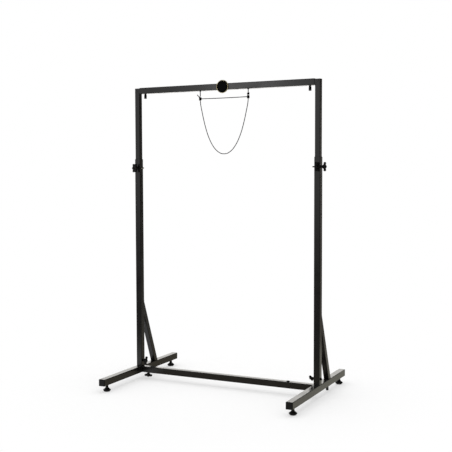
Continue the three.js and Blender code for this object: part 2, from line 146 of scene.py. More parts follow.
# One dictionary for each finish. Sizes are in millimetres: patch is the spread of the soft clouds that
# shift the colour and gloss, grain the pitch of the fine relief and height its depth
looks = {
    # black polyester powder, sprayed on steel tube and baked: satin gloss over a fine orange peel
    "powderCoatedSteel": {
        "colours": ("0c0b0a", "131211"), "rough": (0.2, 0.27), "patch": 90, "grain": 1.6, "height": 0.01,
        "shader": {"IOR": 1.5, "Specular IOR Level": 0.42}},
    # glass-filled nylon from a spark-eroded mould: nearly black, dull, with a fine grain
    "mouldedNylon": {
        "colours": ("070707", "0e0e0f"), "rough": (0.42, 0.55), "patch": 9, "grain": 0.55, "height": 0.02,
        "shader": {"IOR": 1.53, "Specular IOR Level": 0.2}},
    # black thermoplastic rubber: dull, greyed a little by dust
    "mouldedRubber": {
        "colours": ("060606", "10100f"), "rough": (0.5, 0.68), "patch": 12, "grain": 0.8, "height": 0.02,
        "shader": {"IOR": 1.52, "Specular IOR Level": 0.18}},
    # bright zinc plate on the loose screws: pale and slightly clouded
    "zincPlatedSteel": {
        "colours": ("b4b2ab", "cfcdc6"), "rough": (0.25, 0.38), "patch": 4, "grain": 0.4, "height": 0.01,
        "shader": {"Metallic": 1}},
    # black zinc on the hooks and foot bolts: dark metal with a dull shine
    "blackZincSteel": {
        "colours": ("0c0c0d", "18181a"), "rough": (0.35, 0.5), "patch": 5, "grain": 0.5, "height": 0.01,
        "shader": {"Metallic": 0.5, "Specular IOR Level": 0.3}},
    # matt black film on the badge: takes no reflection, with a trace of ripple
    "mattBlackFilm": {
        "colours": ("030303", "070707"), "rough": (0.5, 0.6), "patch": 14, "grain": 7, "height": 0.01,
        "shader": {"IOR": 1.45, "Specular IOR Level": 0.06}},
    # lacquered pale brass: a soft greenish gold
    "paleBrass": {
        "colours": ("aca078", "c0b48c"), "rough": (0.2, 0.3), "patch": 5, "grain": 0.5, "height": 0.004,
        "shader": {"Metallic": 1}},
    # braided polyester: matt black, with filaments that run along each strand of the braid
    "braidedPolyester": {
        "colours": ("060607", "101011"), "rough": (0.75, 0.9), "patch": 6, "grain": 0.12, "height": 0.04,
        "follows": "UV", "stretch": (1, 0.25, 1),
        "shader": {"IOR": 1.5, "Specular IOR Level": 0.15}},
}
cloudSpan = {"From Min": 0.3, "From Max": 0.7}    # the noise keeps mostly between these


def surface(name):
    # soft clouds mix two colours and two roughnesses, and a finer noise makes the relief
    look = looks[name]
    material, tree = newMaterial(name)
    place = addNode(tree, "TexCoord")
    at = addNode(tree, "Mapping", {
        "Vector": (place, look.get("follows", "Object")), "Scale": look.get("stretch", (1, 1, 1))})
    clouds = addNode(tree, "TexNoise", {
        "Vector": (at, "Vector"), "Scale": 1 / (look["patch"] * mm), "Detail": 3})
    grain = addNode(tree, "TexNoise", {
        "Vector": (at, "Vector"), "Scale": 1 / (look["grain"] * mm), "Detail": 2})
    share = addNode(tree, "MapRange", {"Value": (clouds, "Fac"), **cloudSpan})
    first, second = (linearColour(text) for text in look["colours"])
    # the colour sockets of a Mix node go by number: 6 and 7 in, 2 out
    colour = addNode(tree, "Mix", {0: (share, "Result"), 6: first, 7: second}, data_type="RGBA")
    rough = addNode(tree, "MapRange", {
        "Value": (clouds, "Fac"), **cloudSpan, "To Min": look["rough"][0], "To Max": look["rough"][1]})
    bump = addNode(tree, "Bump", {
        "Strength": 1, "Distance": look["height"] * mm, "Height": (grain, "Fac")})
    shader = addNode(tree, "BsdfPrincipled", {
        "Base Color": (colour, 2), "Roughness": (rough, "Result"), "Normal": (bump, "Normal"),
        **look["shader"]})
    addNode(tree, "OutputMaterial", {"Surface": (shader, "BSDF")})
    return material


finish = {slot: surface(name) for slot, name in {
    "powder_coat": "powderCoatedSteel",
    "black_plastic": "mouldedNylon",
    "foot_rubber": "mouldedRubber",
    "zinc_steel": "zincPlatedSteel",
    "black_steel": "blackZincSteel",
    "badge_black": "mattBlackFilm",
    "brass_ring": "paleBrass",
    "braided_cord": "braidedPolyester",
}.items()}
print("materials made")


# Mesh tools: a part is its points, in millimetres, and its faces

def joined(parts):
    # parts put into one, each part's corners counted on from those before it
    points, faces, start = [], [], 0
    for partPoints, partFaces in parts:
        points.append(np.asarray(partPoints, float))
        faces += [[corner + start for corner in face] for face in partFaces]
        start += len(partPoints)
    return np.vstack(points), faces


def makePiece(name, parts, slot, body, replaced=(), sharp=32, keepFlat=True):
    # one object with its place in its mesh; edges that turn by more than sharp degrees stay hard, and
    # keepFlat leaves flat faces evenly lit beside their round edges
    points, faces = joined(parts)
    piece, mesh = addMesh(name, points * mm, faces)
    mesh.validate()
    mesh.shade_smooth()
    mesh.set_sharp_from_angle(angle=math.radians(sharp))
    mesh.materials.append(finish[slot])
    if keepFlat:
        weighted = piece.modifiers.new("flatFaces", "WEIGHTED_NORMAL")
        weighted.keep_sharp = True
    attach(piece, body)
    if replaced:
        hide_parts(*replaced)
    return piece


def moved(part, origin, outward=axisZ, across=axisX):
    # turns a part's +Z to outward and its +X to across, then shifts it
    points, faces = part
    outward, across = np.asarray(outward, float), np.asarray(across, float)
    basis = np.array([across, np.cross(outward, across), outward])
    return np.asarray(points) @ basis + np.asarray(origin, float), faces


def gridFaces(rows, columns, wrapRows=False):
    # quads of a grid that is closed along its columns, and along its rows if asked
    row = np.arange(rows if wrapRows else rows - 1)[:, None]
    column = np.arange(columns)[None, :]
    nextRow, nextColumn = (row + 1) % rows, (column + 1) % columns
    corners = [row * columns + column, row * columns + nextColumn,
               nextRow * columns + nextColumn, nextRow * columns + column]
    return np.stack(np.broadcast_arrays(*corners), -1).reshape(-1, 4).tolist()


def cappedFaces(rows, columns):
    # the same grid with one more face over its first row and one over its last
    first, last = np.arange(columns), np.arange(columns) + (rows - 1) * columns
    return gridFaces(rows, columns) + [first[::-1].tolist(), last.tolist()]


def fullTurn(steps):
    # even angles of a full turn, from 0
    return np.linspace(0, 2 * math.pi, steps, endpoint=False)


def ringsRound(radius, level):
    # rows of rings about Z, a column for each angle: x = r cos a, y = r sin a, z = level
    radius, level = np.broadcast_arrays(radius, level)
    angle = fullTurn(radius.shape[1])
    return np.stack([radius * np.cos(angle), radius * np.sin(angle), level], -1).reshape(-1, 3)


def turnedPart(profile, steps=48):
    # profile of (radius, height) spun about Z; it starts and ends on the axis, or closes on itself
    profile = np.asarray(profile, float)
    onAxis = profile[0, 0] == 0
    rings = profile[1:-1] if onAxis else profile
    points = ringsRound(np.repeat(rings[:, :1], steps, 1), rings[:, 1:])
    faces = gridFaces(len(rings), steps, wrapRows=not onAxis)
    if onAxis:
        bottom, top = len(points), len(points) + 1
        points = np.vstack([points, [0, 0, profile[0, 1]], [0, 0, profile[-1, 1]]])
        last = (len(rings) - 1) * steps
        faces += [[bottom, (k + 1) % steps, k] for k in range(steps)]
        faces += [[top, last + k, last + (k + 1) % steps] for k in range(steps)]
    return points, faces


def eased(corners, steps=4):
    # corners of (x, y, easing): each corner with an easing becomes an arc of that radius
    corners = np.asarray(corners, float)
    shape = []
    for k, (x, y, radius) in enumerate(corners):
        if radius == 0 or k in (0, len(corners) - 1):
            shape.append((x, y))
            continue
        here = np.array([x, y])
        back, on = unit(corners[k - 1, :2] - here), unit(corners[k + 1, :2] - here)
        half = math.acos(np.clip(back @ on, -1, 1)) / 2
        reach = radius / math.tan(half)
        centre = here + unit(back + on) * radius / math.sin(half)
        first, last = here + back * reach - centre, here + on * reach - centre
        turn = math.atan2(first[0] * last[1] - first[1] * last[0], first @ last)
        angle = np.linspace(0, turn, steps + 1)[:, None]
        shape += (centre + np.cos(angle) * first + np.sin(angle) * np.array([-first[1], first[0]])).tolist()
    return np.array(shape)


def squareRing(half, corner, steps=6):
    # rounded square about the origin, counter-clockwise from its +X+Y corner: each corner is the arc
    # x = cx + r cos a, y = cy + r sin a
    turns = np.arange(4)[:, None] * math.pi / 2 + np.linspace(0, math.pi / 2, steps + 1)
    centre = half - corner
    x = np.sign([1, -1, -1, 1])[:, None] * centre + corner * np.cos(turns)
    y = np.sign([1, 1, -1, -1])[:, None] * centre + corner * np.sin(turns)
    return np.stack([x, y], -1).reshape(-1, 2)


def ringStack(rings):
    # solid from (half size, corner radius, height) rings of a rounded square, closed at both ends
    outlines = [squareRing(half, corner) for half, corner, _ in rings]
    levels = np.repeat([height for _, _, height in rings], len(outlines[0]))
    return np.hstack([np.vstack(outlines), levels[:, None]]), cappedFaces(len(rings), len(outlines[0]))


def ringsAlong(path, normal, binormal, size, steps):
    # rings square to a path: p + r (cos a n + sin a b)
    angle = fullTurn(steps)[:, None]
    binormal = np.broadcast_to(binormal, path.shape)
    around = normal[:, None] * np.cos(angle) + binormal[:, None] * np.sin(angle)
    return (path[:, None] + around * np.broadcast_to(size, (len(path), steps))[..., None]).reshape(-1, 3)


def sweptPart(path, size, steps, reference=axisY):
    # tube along a path, closed at both ends, with n as near as can be to the reference
    tangent = unit(np.gradient(path, axis=0))
    normal = unit(reference - (tangent @ reference)[:, None] * tangent)
    points = ringsAlong(path, normal, np.cross(tangent, normal), size, steps)
    return points, cappedFaces(len(path), steps)


def reachAlong(path):
    # length along a path up to each of its points
    return np.append(0, np.cumsum(np.linalg.norm(np.diff(path, axis=0), axis=1)))


def pointsAt(even, reach, path):
    # points at even lengths along a path, straight between its own points
    return np.stack([np.interp(even, reach, path[:, k]) for k in range(3)], -1)


def smoothRoute(points, step, fine=40):
    # smooth line through the points, in even steps of about the given length, four at least. Between two
    # points it is a cubic whose slopes weigh the chords beside it by the roots of their lengths, and it is
    # first worked out in fine steps
    points = np.asarray(points, float)
    whole = np.vstack([2 * points[0] - points[1], points, 2 * points[-1] - points[-2]])
    knots = np.sqrt(np.linalg.norm(np.diff(whole, axis=0), axis=1))[:, None]
    before, here, after = knots[:-2], knots[1:-1], knots[2:]
    p0, p1, p2, p3 = whole[:-3], whole[1:-2], whole[2:-1], whole[3:]
    out = here * ((p1 - p0) / before - (p2 - p0) / (before + here) + (p2 - p1) / here)
    into = here * ((p2 - p1) / here - (p3 - p1) / (here + after) + (p3 - p2) / after)
    t = np.linspace(0, 1, fine, endpoint=False)[None, :, None]
    p1, p2, out, into = (value[:, None] for value in (p1, p2, out, into))
    line = ((2 * t ** 3 - 3 * t ** 2 + 1) * p1 + (t ** 3 - 2 * t ** 2 + t) * out
            + (3 * t ** 2 - 2 * t ** 3) * p2 + (t ** 3 - t ** 2) * into).reshape(-1, 3)
    line = np.vstack([line, points[-1]])
    reach = reachAlong(line)
    return pointsAt(np.linspace(0, reach[-1], max(4, round(reach[-1] / step)) + 1), reach, line)


# Square tubes: each wall can have round holes, cut in a cell of the wall that is holeCell wider all round

tubes = {
    "leg": {"size": 38, "wall": 2, "corner": 3},
    "outer": {"size": 35, "wall": 2, "corner": 3},
    "inner": {"size": 30, "wall": 2, "corner": 2.5},
    "cornerSteps": 7,
    "endEase": 0.5,
    "holeEase": 0.4,
    "holeCell": 3.5,
    "holeSteps": 24,
}
tubeFaces = {"+Y": 0, "-X": 1, "-Y": 2, "+X": 3}
quarter = np.radians([0, 30, 60, 90])


def tubeRings(length, levels, startSlope, endSlope):
    # (inset, level, slope, inside) of each ring: up the outside, round the end, down the inside
    near, far = tubes["endEase"] * (1 - np.cos(quarter)), tubes["endEase"] * (1 - np.sin(quarter))
    rings = [(near[k], far[k], startSlope, 0) for k in (3, 2, 1, 0)]
    rings += [(0, level, (0, 0), 0) for level in levels]
    rings += [(near[k], length - far[k], endSlope, 0) for k in (0, 1, 2, 3)]
    rings += [(far[k], length - near[k], endSlope, 1) for k in (0, 2)]
    rings += [(0, level, (0, 0), 1) for level in levels[::-1]]
    return rings + [(far[k], near[k], startSlope, 1) for k in (3, 1)]


def tubePart(kind, length, holes=(), startSlope=(0, 0), endSlope=(0, 0)):
    # square tube along +Z with rounded ends; a slope tips an end: z = end + a x + b y
    # holes are (face, height, radius)
    spec, steps, cell = tubes[kind], tubes["cornerSteps"], tubes["holeCell"]
    half, wall, corner = spec["size"] / 2, spec["wall"], spec["corner"]
    spans = [(height - radius - cell, height + radius + cell) for _, height, radius in holes]
    rings = tubeRings(length, sorted({level for span in spans for level in span}), startSlope, endSlope)
    points = []
    for inset, level, slope, inside in rings:
        shift = inset if inside else -inset
        outline = squareRing(half - inside * wall + shift, corner - inside * wall / 2 + shift, steps)
        points.append(np.hstack([outline, (level + outline @ np.array(slope, float))[:, None]]))
    points = np.vstack(points)
    quads = np.array(gridFaces(len(rings), len(outline), wrapRows=True)).reshape(len(rings), -1, 4)
    kept = np.ones(quads.shape[:2], bool)
    blocks, added, total = [points], [], len(points)
    # round a hole the angles start at its cell's first corner
    around = np.arange(tubes["holeSteps"])
    turn = fullTurn(len(around)) - 0.75 * math.pi
    side = len(around) // 4
    for (face, _, radius), span in zip(holes, spans):
        column = tubeFaces[face] * (steps + 1) + steps
        chain = []
        for inside, level in enumerate(span):
            row = next(k for k, ring in enumerate(rings) if ring[1] == level and ring[3] == inside)
            kept[row, column] = False
            corners = quads[row, column]
            p00, p10, p11, p01 = points[corners]
            across, along, centre = unit(p10 - p00), unit(p01 - p00), (p00 + p10 + p11 + p01) / 4
            circle = np.cos(turn)[:, None] * across + np.sin(turn)[:, None] * along
            # four faces fill the cell round the hole
            for k in range(4):
                part = np.arange(side * (k + 1), side * k - 1, -1) % len(around)
                added.append([corners[k], corners[(k + 1) % 4], *(total + part)])
            # outside, the hole's edge is rounded: it starts wider and goes down to its radius
            for t in quarter[-1:] if inside else quarter:
                deep = 0 if inside else tubes["holeEase"] * (1 - math.cos(t))
                wide = radius + tubes["holeEase"] * (1 - math.sin(t))
                blocks.append(centre - deep * np.cross(across, along) + wide * circle)
                chain.append(total + around)
                total += len(around)
        # the inner circle runs the other way round
        chain[-1] = chain[-1][(3 * side - around) % len(around)]
        for upper, lower in zip(chain[:-1], chain[1:]):
            added += np.stack([upper, np.roll(upper, -1), np.roll(lower, -1), lower], -1).tolist()
    return np.vstack(blocks), quads[kept].tolist() + added


# Cord: braided black cord, tied to both hooks, with a loop that hangs between them

cord = {
    "radius": 2.25,
    "strands": 4,
    "relief": 0.32,
    "strandLean": 38,
    "underDip": 0.4,
    "step": 0.5,
    "around": 28,
    "runs": {
        "tie": {"lay": "taut", "farEnd": "object",
                "route": [(-139.7, 0, 1626.8), (0, 0, 1625.8), (139.7, 0, 1626.8)]},
        "tail": {"lay": "loose", "farEnd": "bare",
                 "route": [(-154.4, 4.1, 1632.5), (-158.7, 6.8, 1636.6), (-163.3, 9.6, 1640.7),
                           (-167.9, 12.5, 1644.6), (-172.6, 15.4, 1648.3), (-177.2, 18.2, 1651.8)]},
        "loop": {"lay": "hanging", "farEnd": "object",
                 "route": [(-148, 0, 1614), (-145, 0, 1590), (-138, 0, 1557), (-128, 0, 1513),
                           (-115, 0, 1465), (-100, 0, 1421), (-80, 0, 1379), (-60, 0, 1350),
                           (-40, 0, 1331), (-20, 0, 1320), (0, 0, 1317), (20, 0, 1320), (40, 0, 1331),
                           (60, 0, 1350), (80, 0, 1379), (100, 0, 1421), (115, 0, 1465),
                           (128, 0, 1513), (138, 0, 1557), (145, 0, 1590), (148, 0, 1614)]},
    },
}


def braidedSize(path):
    # radius over length s and angle a: two families of strands, |cos((n a + k s) / 2)| and
    # |cos((n a - k s) / 2)|, take turns on top where cos(n a) cos(k s) changes sign
    stepLength = np.linalg.norm(np.diff(path, axis=0), axis=1).mean()
    along = np.arange(len(path))[:, None] * stepLength
    angle = fullTurn(cord["around"])[None, :]
    turns = cord["strands"] * math.tan(math.radians(cord["strandLean"])) / cord["radius"]
    first = np.abs(np.cos(cord["strands"] * angle / 2 + turns * along / 2))
    second = np.abs(np.cos(cord["strands"] * angle / 2 - turns * along / 2))
    turn = 0.5 + 0.5 * np.cos(cord["strands"] * angle) * np.cos(turns * along)
    dip = cord["underDip"]
    top = np.maximum(first * (1 - dip + dip * turn), second * (1 - dip * turn))
    return cord["radius"] - cord["relief"] * (1 - top)


def braidPart(route, reference=axisY):
    # a smooth line through the route, and round it a tube with the braid's radius
    path = smoothRoute(route, cord["step"])
    return path, sweptPart(path, braidedSize(path), cord["around"], reference)


def addUv(piece, steps, stepLength, girth):
    # u runs round the cord and v along it, both in metres; the last column's faces end at u = girth
    mesh = piece.data
    corner = np.empty(len(mesh.loops), int)
    starts = np.empty(len(mesh.polygons), int)
    totals = np.empty(len(mesh.polygons), int)
    mesh.loops.foreach_get("vertex_index", corner)
    mesh.polygons.foreach_get("loop_start", starts)
    mesh.polygons.foreach_get("loop_total", totals)
    row, column = corner // steps, corner % steps
    face = np.repeat(np.arange(len(starts)), totals)
    lastColumn = np.maximum.reduceat(column, starts)[face]
    wrapped = (lastColumn == steps - 1) & (column == 0) & (totals[face] == 4)
    around = (column + np.where(wrapped, steps, 0)) / steps * girth
    layer = mesh.uv_layers.new(name="along")
    layer.data.foreach_set("uv", (np.stack([around, row * stepLength], -1) * mm).ravel())


def addCords():
    # each run of cord: its braid, the map that its filaments follow, and how it lies
    lengths = {}
    for name, run in cord["runs"].items():
        path, tube = braidPart(run["route"])
        piece = makePiece(f"cord_{name}_braid", [tube], "braided_cord", "upper_frame", [f"cord_{name}"],
                          sharp=60, keepFlat=False)
        steps = np.linalg.norm(np.diff(path, axis=0), axis=1)
        addUv(piece, cord["around"], steps[0], 2 * math.pi * cord["radius"])
        length = float(steps.sum()) * mm
        lengths[name] = round(length, 4)
    print("cords laid, lengths in metres", lengths)


addCords()

# Knot: routes are counted from the hook, down from the underside of the bar. A stub leads from the knot's
# middle to each run that ends within stubReach of it. One that rises or falls by more than steep takes +X
# for its reference, and the others +Y
knot = {
    "over": [(0, 0, -55.5), (-0.3, 0, -52), (-1, 0, -48.5), (-2.6, 0, -45), (-4.4, 0, -41.5),
             (-4.6, 0, -38.3), (-2.8, 0, -36), (0, 0, -35.2), (2.8, 0, -35.8), (4.9, 0.1, -37.3)],
    "wrap": {"radius": 5.6, "turns": 2.8, "top": -38.8, "bottom": -51},
    "stemWrap": {"radius": 4.9, "turns": 2, "top": -21.5, "bottom": -30.5},
    "perTurn": 20,
    "startAngle": 0.25,
    "reference": np.array([0.3, 0.2, 0.93]),
    "stubReach": 14,
    "stubShares": (0.3, 0.65, 1),
    "steep": 10,
}


def wound(radius, turns, top, bottom):
    # helix round Z: x = r cos a, y = r sin a, sinking evenly from top to bottom
    share = np.linspace(0, 1, round(knot["perTurn"] * turns))
    angle = knot["startAngle"] + share * 2 * math.pi * turns
    return np.stack([radius * np.cos(angle), radius * np.sin(angle), top + (bottom - top) * share], -1)


def addKnots():
    # the cord goes up through its own wraps, over the wire of the hook and back down into them
    runEnds = [np.array(run["route"][k], float) for run in cord["runs"].values() for k in (0, -1)]
    for side, sign in sides:
        centre = middle(f"{side}_cord_knot")
        hookAt = np.array([middle(f"{side}_hook")[0], 0, cadSpan(f"{side}_bar_stub")[0][2] - barFit])
        over = np.vstack([knot["over"], wound(**knot["wrap"])]) * [-sign, 1, 1]
        routes = [(over + hookAt, knot["reference"])]
        if side == "right":
            routes.append((wound(**knot["stemWrap"]) + hookAt, knot["reference"]))
        for end in runEnds:
            if np.linalg.norm(end - centre) < knot["stubReach"]:
                across = axisX if abs(end[2] - centre[2]) > knot["steep"] else axisY
                routes.append(([centre + (end - centre) * share for share in knot["stubShares"]], across))
        parts = [braidPart(route, reference)[1] for route, reference in routes]
        makePiece(f"{side}_knot_winding", parts, "braided_cord", "upper_frame", [f"{side}_cord_knot"],
                  sharp=60, keepFlat=False)
    print("knots tied")


addKnots()


# Tubes of the frame, with their bosses, nuts and weld beads

bores = {"bolt": 4.5, "plug": 6.3, "hook": 3}
boss = {"radius": 6, "height": 4, "root": 1, "weld": 1.8, "edge": 0.7, "mouth": 0.5, "around": 40,
        "weldDegrees": (0, 22, 45, 68)}
nut = {"across": 13, "height": 5, "ease": 0.5, "around": 72, "coneSlope": 0.62, "coneInset": 0.15,
       "coneShares": (0, 0.33, 0.66, 1)}
beads = {
    "brace": {"radius": 1.5, "ripple": 0.22, "pitch": 2.2},
    "mitre": {"radius": 0.9, "ripple": 0.06, "pitch": 1.4},
    "mitreStand": 0.25,
    "step": 0.55,
    "around": 10,
}


def bossPart():
    # round boss with a hollow weld fillet at its root
    turn = np.radians(boss["weldDegrees"])
    radius, weld, top, bottom = boss["radius"], boss["weld"], boss["height"], -boss["root"]
    fillet = np.stack([radius + weld - weld * np.sin(turn), weld * (1 - np.cos(turn))], -1)
    edge = eased([(radius, weld, 0), (radius, top, boss["edge"]), (bores["bolt"], top, boss["mouth"]),
                  (bores["bolt"], bottom, 0)], steps=3)
    return turnedPart(np.vstack([(radius + weld, bottom), fillet, edge]), boss["around"])


def beadPart(loop, radius, ripple, pitch):
    # weld bead along a closed flat loop: r = R + ripple cos(2 pi s / pitch)
    closed = np.vstack([loop, loop[:1]])
    reach = reachAlong(closed)
    even = np.linspace(0, reach[-1], round(reach[-1] / beads["step"]), endpoint=False)
    path = pointsAt(even, reach, closed)
    tangent = unit(np.roll(path, -1, 0) - np.roll(path, 1, 0))
    plane = np.linalg.svd(path - path.mean(0))[2][2]
    ripples = round(reach[-1] / pitch)
    size = radius + ripple * np.cos(2 * math.pi * ripples * even / reach[-1])
    points = ringsAlong(path, unit(np.cross(tangent, plane)), plane, size[:, None], beads["around"])
    return points, gridFaces(len(path), beads["around"], wrapRows=True)


def nutPart(across, height, bore):
    # hexagon nut: radius at angle a is half the width over cos of the angle to the nearest flat,
    # cut back at both ends by a cone of 30 degrees
    toFlat = (fullTurn(nut["around"]) + math.pi / 6) % (math.pi / 3) - math.pi / 6
    hexagon = across / 2 / np.cos(toFlat)
    cone = (hexagon.max() - across / 2) * nut["coneSlope"] * np.array(nut["coneShares"])
    level = np.append(cone, height - cone[::-1])[:, None]
    near = np.minimum(level, height - level)
    outside = np.minimum(hexagon, across / 2 - nut["coneInset"] + near * math.sqrt(3))
    ease = nut["ease"]
    inside = np.array([(bore + ease, height), (bore, height - ease), (bore, ease), (bore + ease, 0)])
    radius = np.vstack([outside, np.repeat(inside[:, :1], nut["around"], 1)])
    points = ringsRound(radius, np.vstack([level, inside[:, 1:]]))
    return points, gridFaces(len(radius), nut["around"], wrapRows=True)


def addLegs():
    # leg tubes: holes for the studs below and for the brace screw right through, a nut over each stud
    bore, root = bores["bolt"], tubes["leg"]["wall"] / 2
    studNut = nutPart(nut["across"], nut["height"] + root, bore)
    for side, _ in sides:
        low, high = cadSpan(f"{side}_leg")
        x, _, z = middle(f"{side}_leg")
        studY = [middle(f"{end}_{side}_foot_stud")[1] for end, _ in ends]
        screwY = middle(f"{side}_brace_knob")[1]
        holes = [("-Y", y - low[1], bore) for y in studY]
        holes += [(face, screwY - low[1], bore) for face in ("-Y", "+Y")]
        parts = [moved(tubePart("leg", high[1] - low[1], holes), (x, low[1], z), axisY, -axisX)]
        parts += [moved(studNut, (x, y, low[2] + root)) for y in studY]
        makePiece(f"{side}_leg_tube", parts, "powder_coat", "base", [f"{side}_leg"])


def addLevelTubes():
    # crossbar and top bar with a clamp boss under each end, and the spigots inside the crossbar
    size = tubes["outer"]["size"]
    for node, body, knobs in (("crossbar", "base", "crossbar_knob"), ("top_bar", "upper_frame", "bar_knob")):
        low, high = cadSpan(node)
        z = high[2] - size / 2
        knobX = [middle(f"{side}_{knobs}")[0] for side, _ in sides]
        holes = [("-X", x - low[0], bores["bolt"]) for x in knobX]
        if node == "crossbar":
            holes.append(("+X", middle("crossbar_plug")[0] - low[0], bores["plug"]))
        else:
            holes += [("-X", middle(f"{side}_hook")[0] - low[0], bores["hook"]) for side, _ in sides]
        tube = moved(tubePart("outer", high[0] - low[0], holes), (low[0], 0, z), axisX, axisZ)
        bosses = [moved(bossPart(), (x, 0, z - size / 2), -axisZ, axisX) for x in knobX]
        makePiece(f"{node}_tube", [tube] + bosses, "powder_coat", body, [node])
    for side, _ in sides:
        low, high = cadSpan(f"{side}_crossbar_spigot")
        tube = moved(tubePart("inner", high[0] - low[0]), (low[0], 0, (low[2] + high[2]) / 2), axisX, axisZ)
        makePiece(f"{side}_crossbar_inner", [tube], "powder_coat", "base", [f"{side}_crossbar_spigot"])


holeRow = {"pitch": 50, "inSleeve": 6, "aboveLock": 7, "belowLock": 6}


def throughHoles(levels):
    # bolt holes through both side walls
    return [(face, float(level), bores["bolt"]) for level in levels for face in ("+X", "-X")]


def addSleeves():
    # sleeve posts: adjusting holes through both side walls and two clamp bosses at the mouth
    half = tubes["outer"]["size"] / 2
    for side, sign in sides:
        low, high = cadSpan(f"{side}_lower_post")
        x = middle(f"{side}_upper_post")[0]
        lock = middle(f"{side}_lock_bolt")[2] - low[2]
        foot = middle(f"{side}_foot_bolt")[2] - low[2]
        holes = throughHoles([lock - holeRow["pitch"] * k for k in range(holeRow["inSleeve"])] + [foot])
        holes.append(("-Y", lock, bores["bolt"]))
        parts = [moved(tubePart("outer", high[2] - low[2], holes), (x, 0, low[2])),
                 moved(bossPart(), (x + sign * half, 0, low[2] + lock), sign * axisX, axisZ),
                 moved(bossPart(), (x, -half, low[2] + lock), -axisY, axisX)]
        makePiece(f"{side}_sleeve_post", parts, "powder_coat", "base", [f"{side}_lower_post"])
        low, high = cadSpan(f"{side}_post_spigot")
        spigot = moved(tubePart("inner", high[2] - low[2], throughHoles([foot])), (x, 0, low[2]))
        makePiece(f"{side}_post_inner", [spigot], "powder_coat", "base", [f"{side}_post_spigot"])


brace = {"lean": 21.5, "plate": 4, "plateCorner": 1.8, "plateEase": 0.4}


def addBraces():
    # brace: a leaning tube, level at its foot and upright at its head, with a weld bead round the head
    # and a plate in the foot for its screw
    lean, inner = math.radians(brace["lean"]), tubes["inner"]
    ease, corner, top = brace["plateEase"], brace["plateCorner"], brace["plate"]
    core = (inner["size"] - inner["wall"]) / 2
    outline = squareRing(inner["size"] / 2, inner["corner"])
    plate, plateFaces = ringStack([(core - ease, corner - ease, 0), (core, corner, ease),
                                   (core, corner, top - ease), (core - ease, corner - ease, top)])
    plate = plate * [1, 1 / math.cos(lean), 1] - np.outer(plate[:, 2], [0, math.tan(lean), 0])
    for side, _ in sides:
        low = cadSpan(f"{side}_brace")[0]
        x = middle(f"{side}_upper_post")[0]
        footY, headY = middle(f"{side}_brace_knob")[1], low[1]
        length = (footY - headY) / math.sin(lean)
        # the tube's own +Z leans forward and its +Y points back and up, so a level cut is
        # z = -y tan(lean) and an upright one z = y / tan(lean)
        tube = tubePart("inner", length, startSlope=(0, -math.tan(lean)), endSlope=(0, 1 / math.tan(lean)))
        tube = moved(tube, (x, footY, low[2]), (0, -math.sin(lean), math.cos(lean)), axisX)
        head = np.stack([x + outline[:, 0], np.full(len(outline), headY + ease),
                         low[2] + length * math.cos(lean) - outline[:, 1] / math.sin(lean)], -1)
        parts = [tube, beadPart(head, **beads["brace"]), (plate + [x, footY, low[2]], plateFaces)]
        makePiece(f"{side}_brace_tube", parts, "powder_coat", "base", [f"{side}_brace"])


def addUpperFrame():
    # upper posts and the stubs that the top bar slides over, mitred at 45 degrees and welded almost flush
    half = tubes["inner"]["size"] / 2
    outline = squareRing(half - beads["mitre"]["radius"] + beads["mitreStand"], tubes["inner"]["corner"])
    for side, sign in sides:
        low, high = cadSpan(f"{side}_upper_post")
        x = middle(f"{side}_upper_post")[0]
        stubLow, stubHigh = cadSpan(f"{side}_bar_stub")
        barZ = (stubLow[2] + stubHigh[2]) / 2
        rows = np.arange(-holeRow["belowLock"], holeRow["aboveLock"] + 1) * holeRow["pitch"]
        holes = throughHoles(rows + middle(f"{side}_lock_bolt")[2] - low[2])
        post = tubePart("inner", high[2] - low[2] - half, holes, endSlope=(sign, 0))
        seam = np.stack([x + outline[:, 0], outline[:, 1], barZ + sign * outline[:, 0]], -1)
        makePiece(f"{side}_inner_post", [moved(post, (x, 0, low[2])), beadPart(seam, **beads["mitre"])],
                  "powder_coat", "upper_frame", [f"{side}_upper_post"])
        reach = stubHigh[0] - x if sign < 0 else x - stubLow[0]
        stub = moved(tubePart("inner", reach, startSlope=(-1, 0)), (x, 0, barZ), -sign * axisX, axisZ)
        makePiece(f"{side}_elbow_stub", [stub], "powder_coat", "upper_frame", [f"{side}_bar_stub"])


addLegs()
addLevelTubes()
addSleeves()
addBraces()
addUpperFrame()
print("tubes made")


# Screws and knobs

thread = {"pitch": 1.25, "depth": 0.7, "perTurn": 8, "around": 20, "tip": 1, "fade": 1.5}


def screwPart(radius, low, high, threadTo):
    # rod from low to high; up to threadTo its radius is r = R - d t, where t goes from 0 to 1 and back
    # while z / pitch - a / 2 pi grows by 1
    threaded = np.arange(low, threadTo, thread["pitch"] / thread["perTurn"])
    level = np.unique(np.round(np.concatenate([[low, high], threaded]), 4))
    level = level[(level >= low) & (level <= high)][:, None]
    phase = (level / thread["pitch"] - fullTurn(thread["around"]) / (2 * math.pi)) % 1
    groove = 1 - np.abs(2 * phase - 1)
    runOut = np.minimum(level - low, threadTo + thread["fade"] - level)
    size = radius - thread["depth"] * groove * np.clip(runOut / thread["fade"], 0, 1)
    cone = radius - thread["tip"] + np.minimum(level - low, high - level)
    return ringsRound(np.minimum(size, cone), level), cappedFaces(len(level), thread["around"])


wings = {"height": 27.5, "face": 7, "hub": 7.5, "neck": 12, "flare": 12, "flareDeep": 9, "shoulder": 15,
         "span": 49, "centre": 19, "lobe": 6.5, "thick": 12, "ease": 2.4, "web": 5, "webInset": 0.3,
         "webCorner": 0.3, "dimple": 3.4, "dimpleLip": 0.6, "dimpleDepth": 0.9,
         "faceEase": 0.4, "hubEase": 1.8, "lipEase": 0.4, "floorEase": 0.3, "voxel": 0.6, "soften": 0.5,
         "softenTimes": 2}


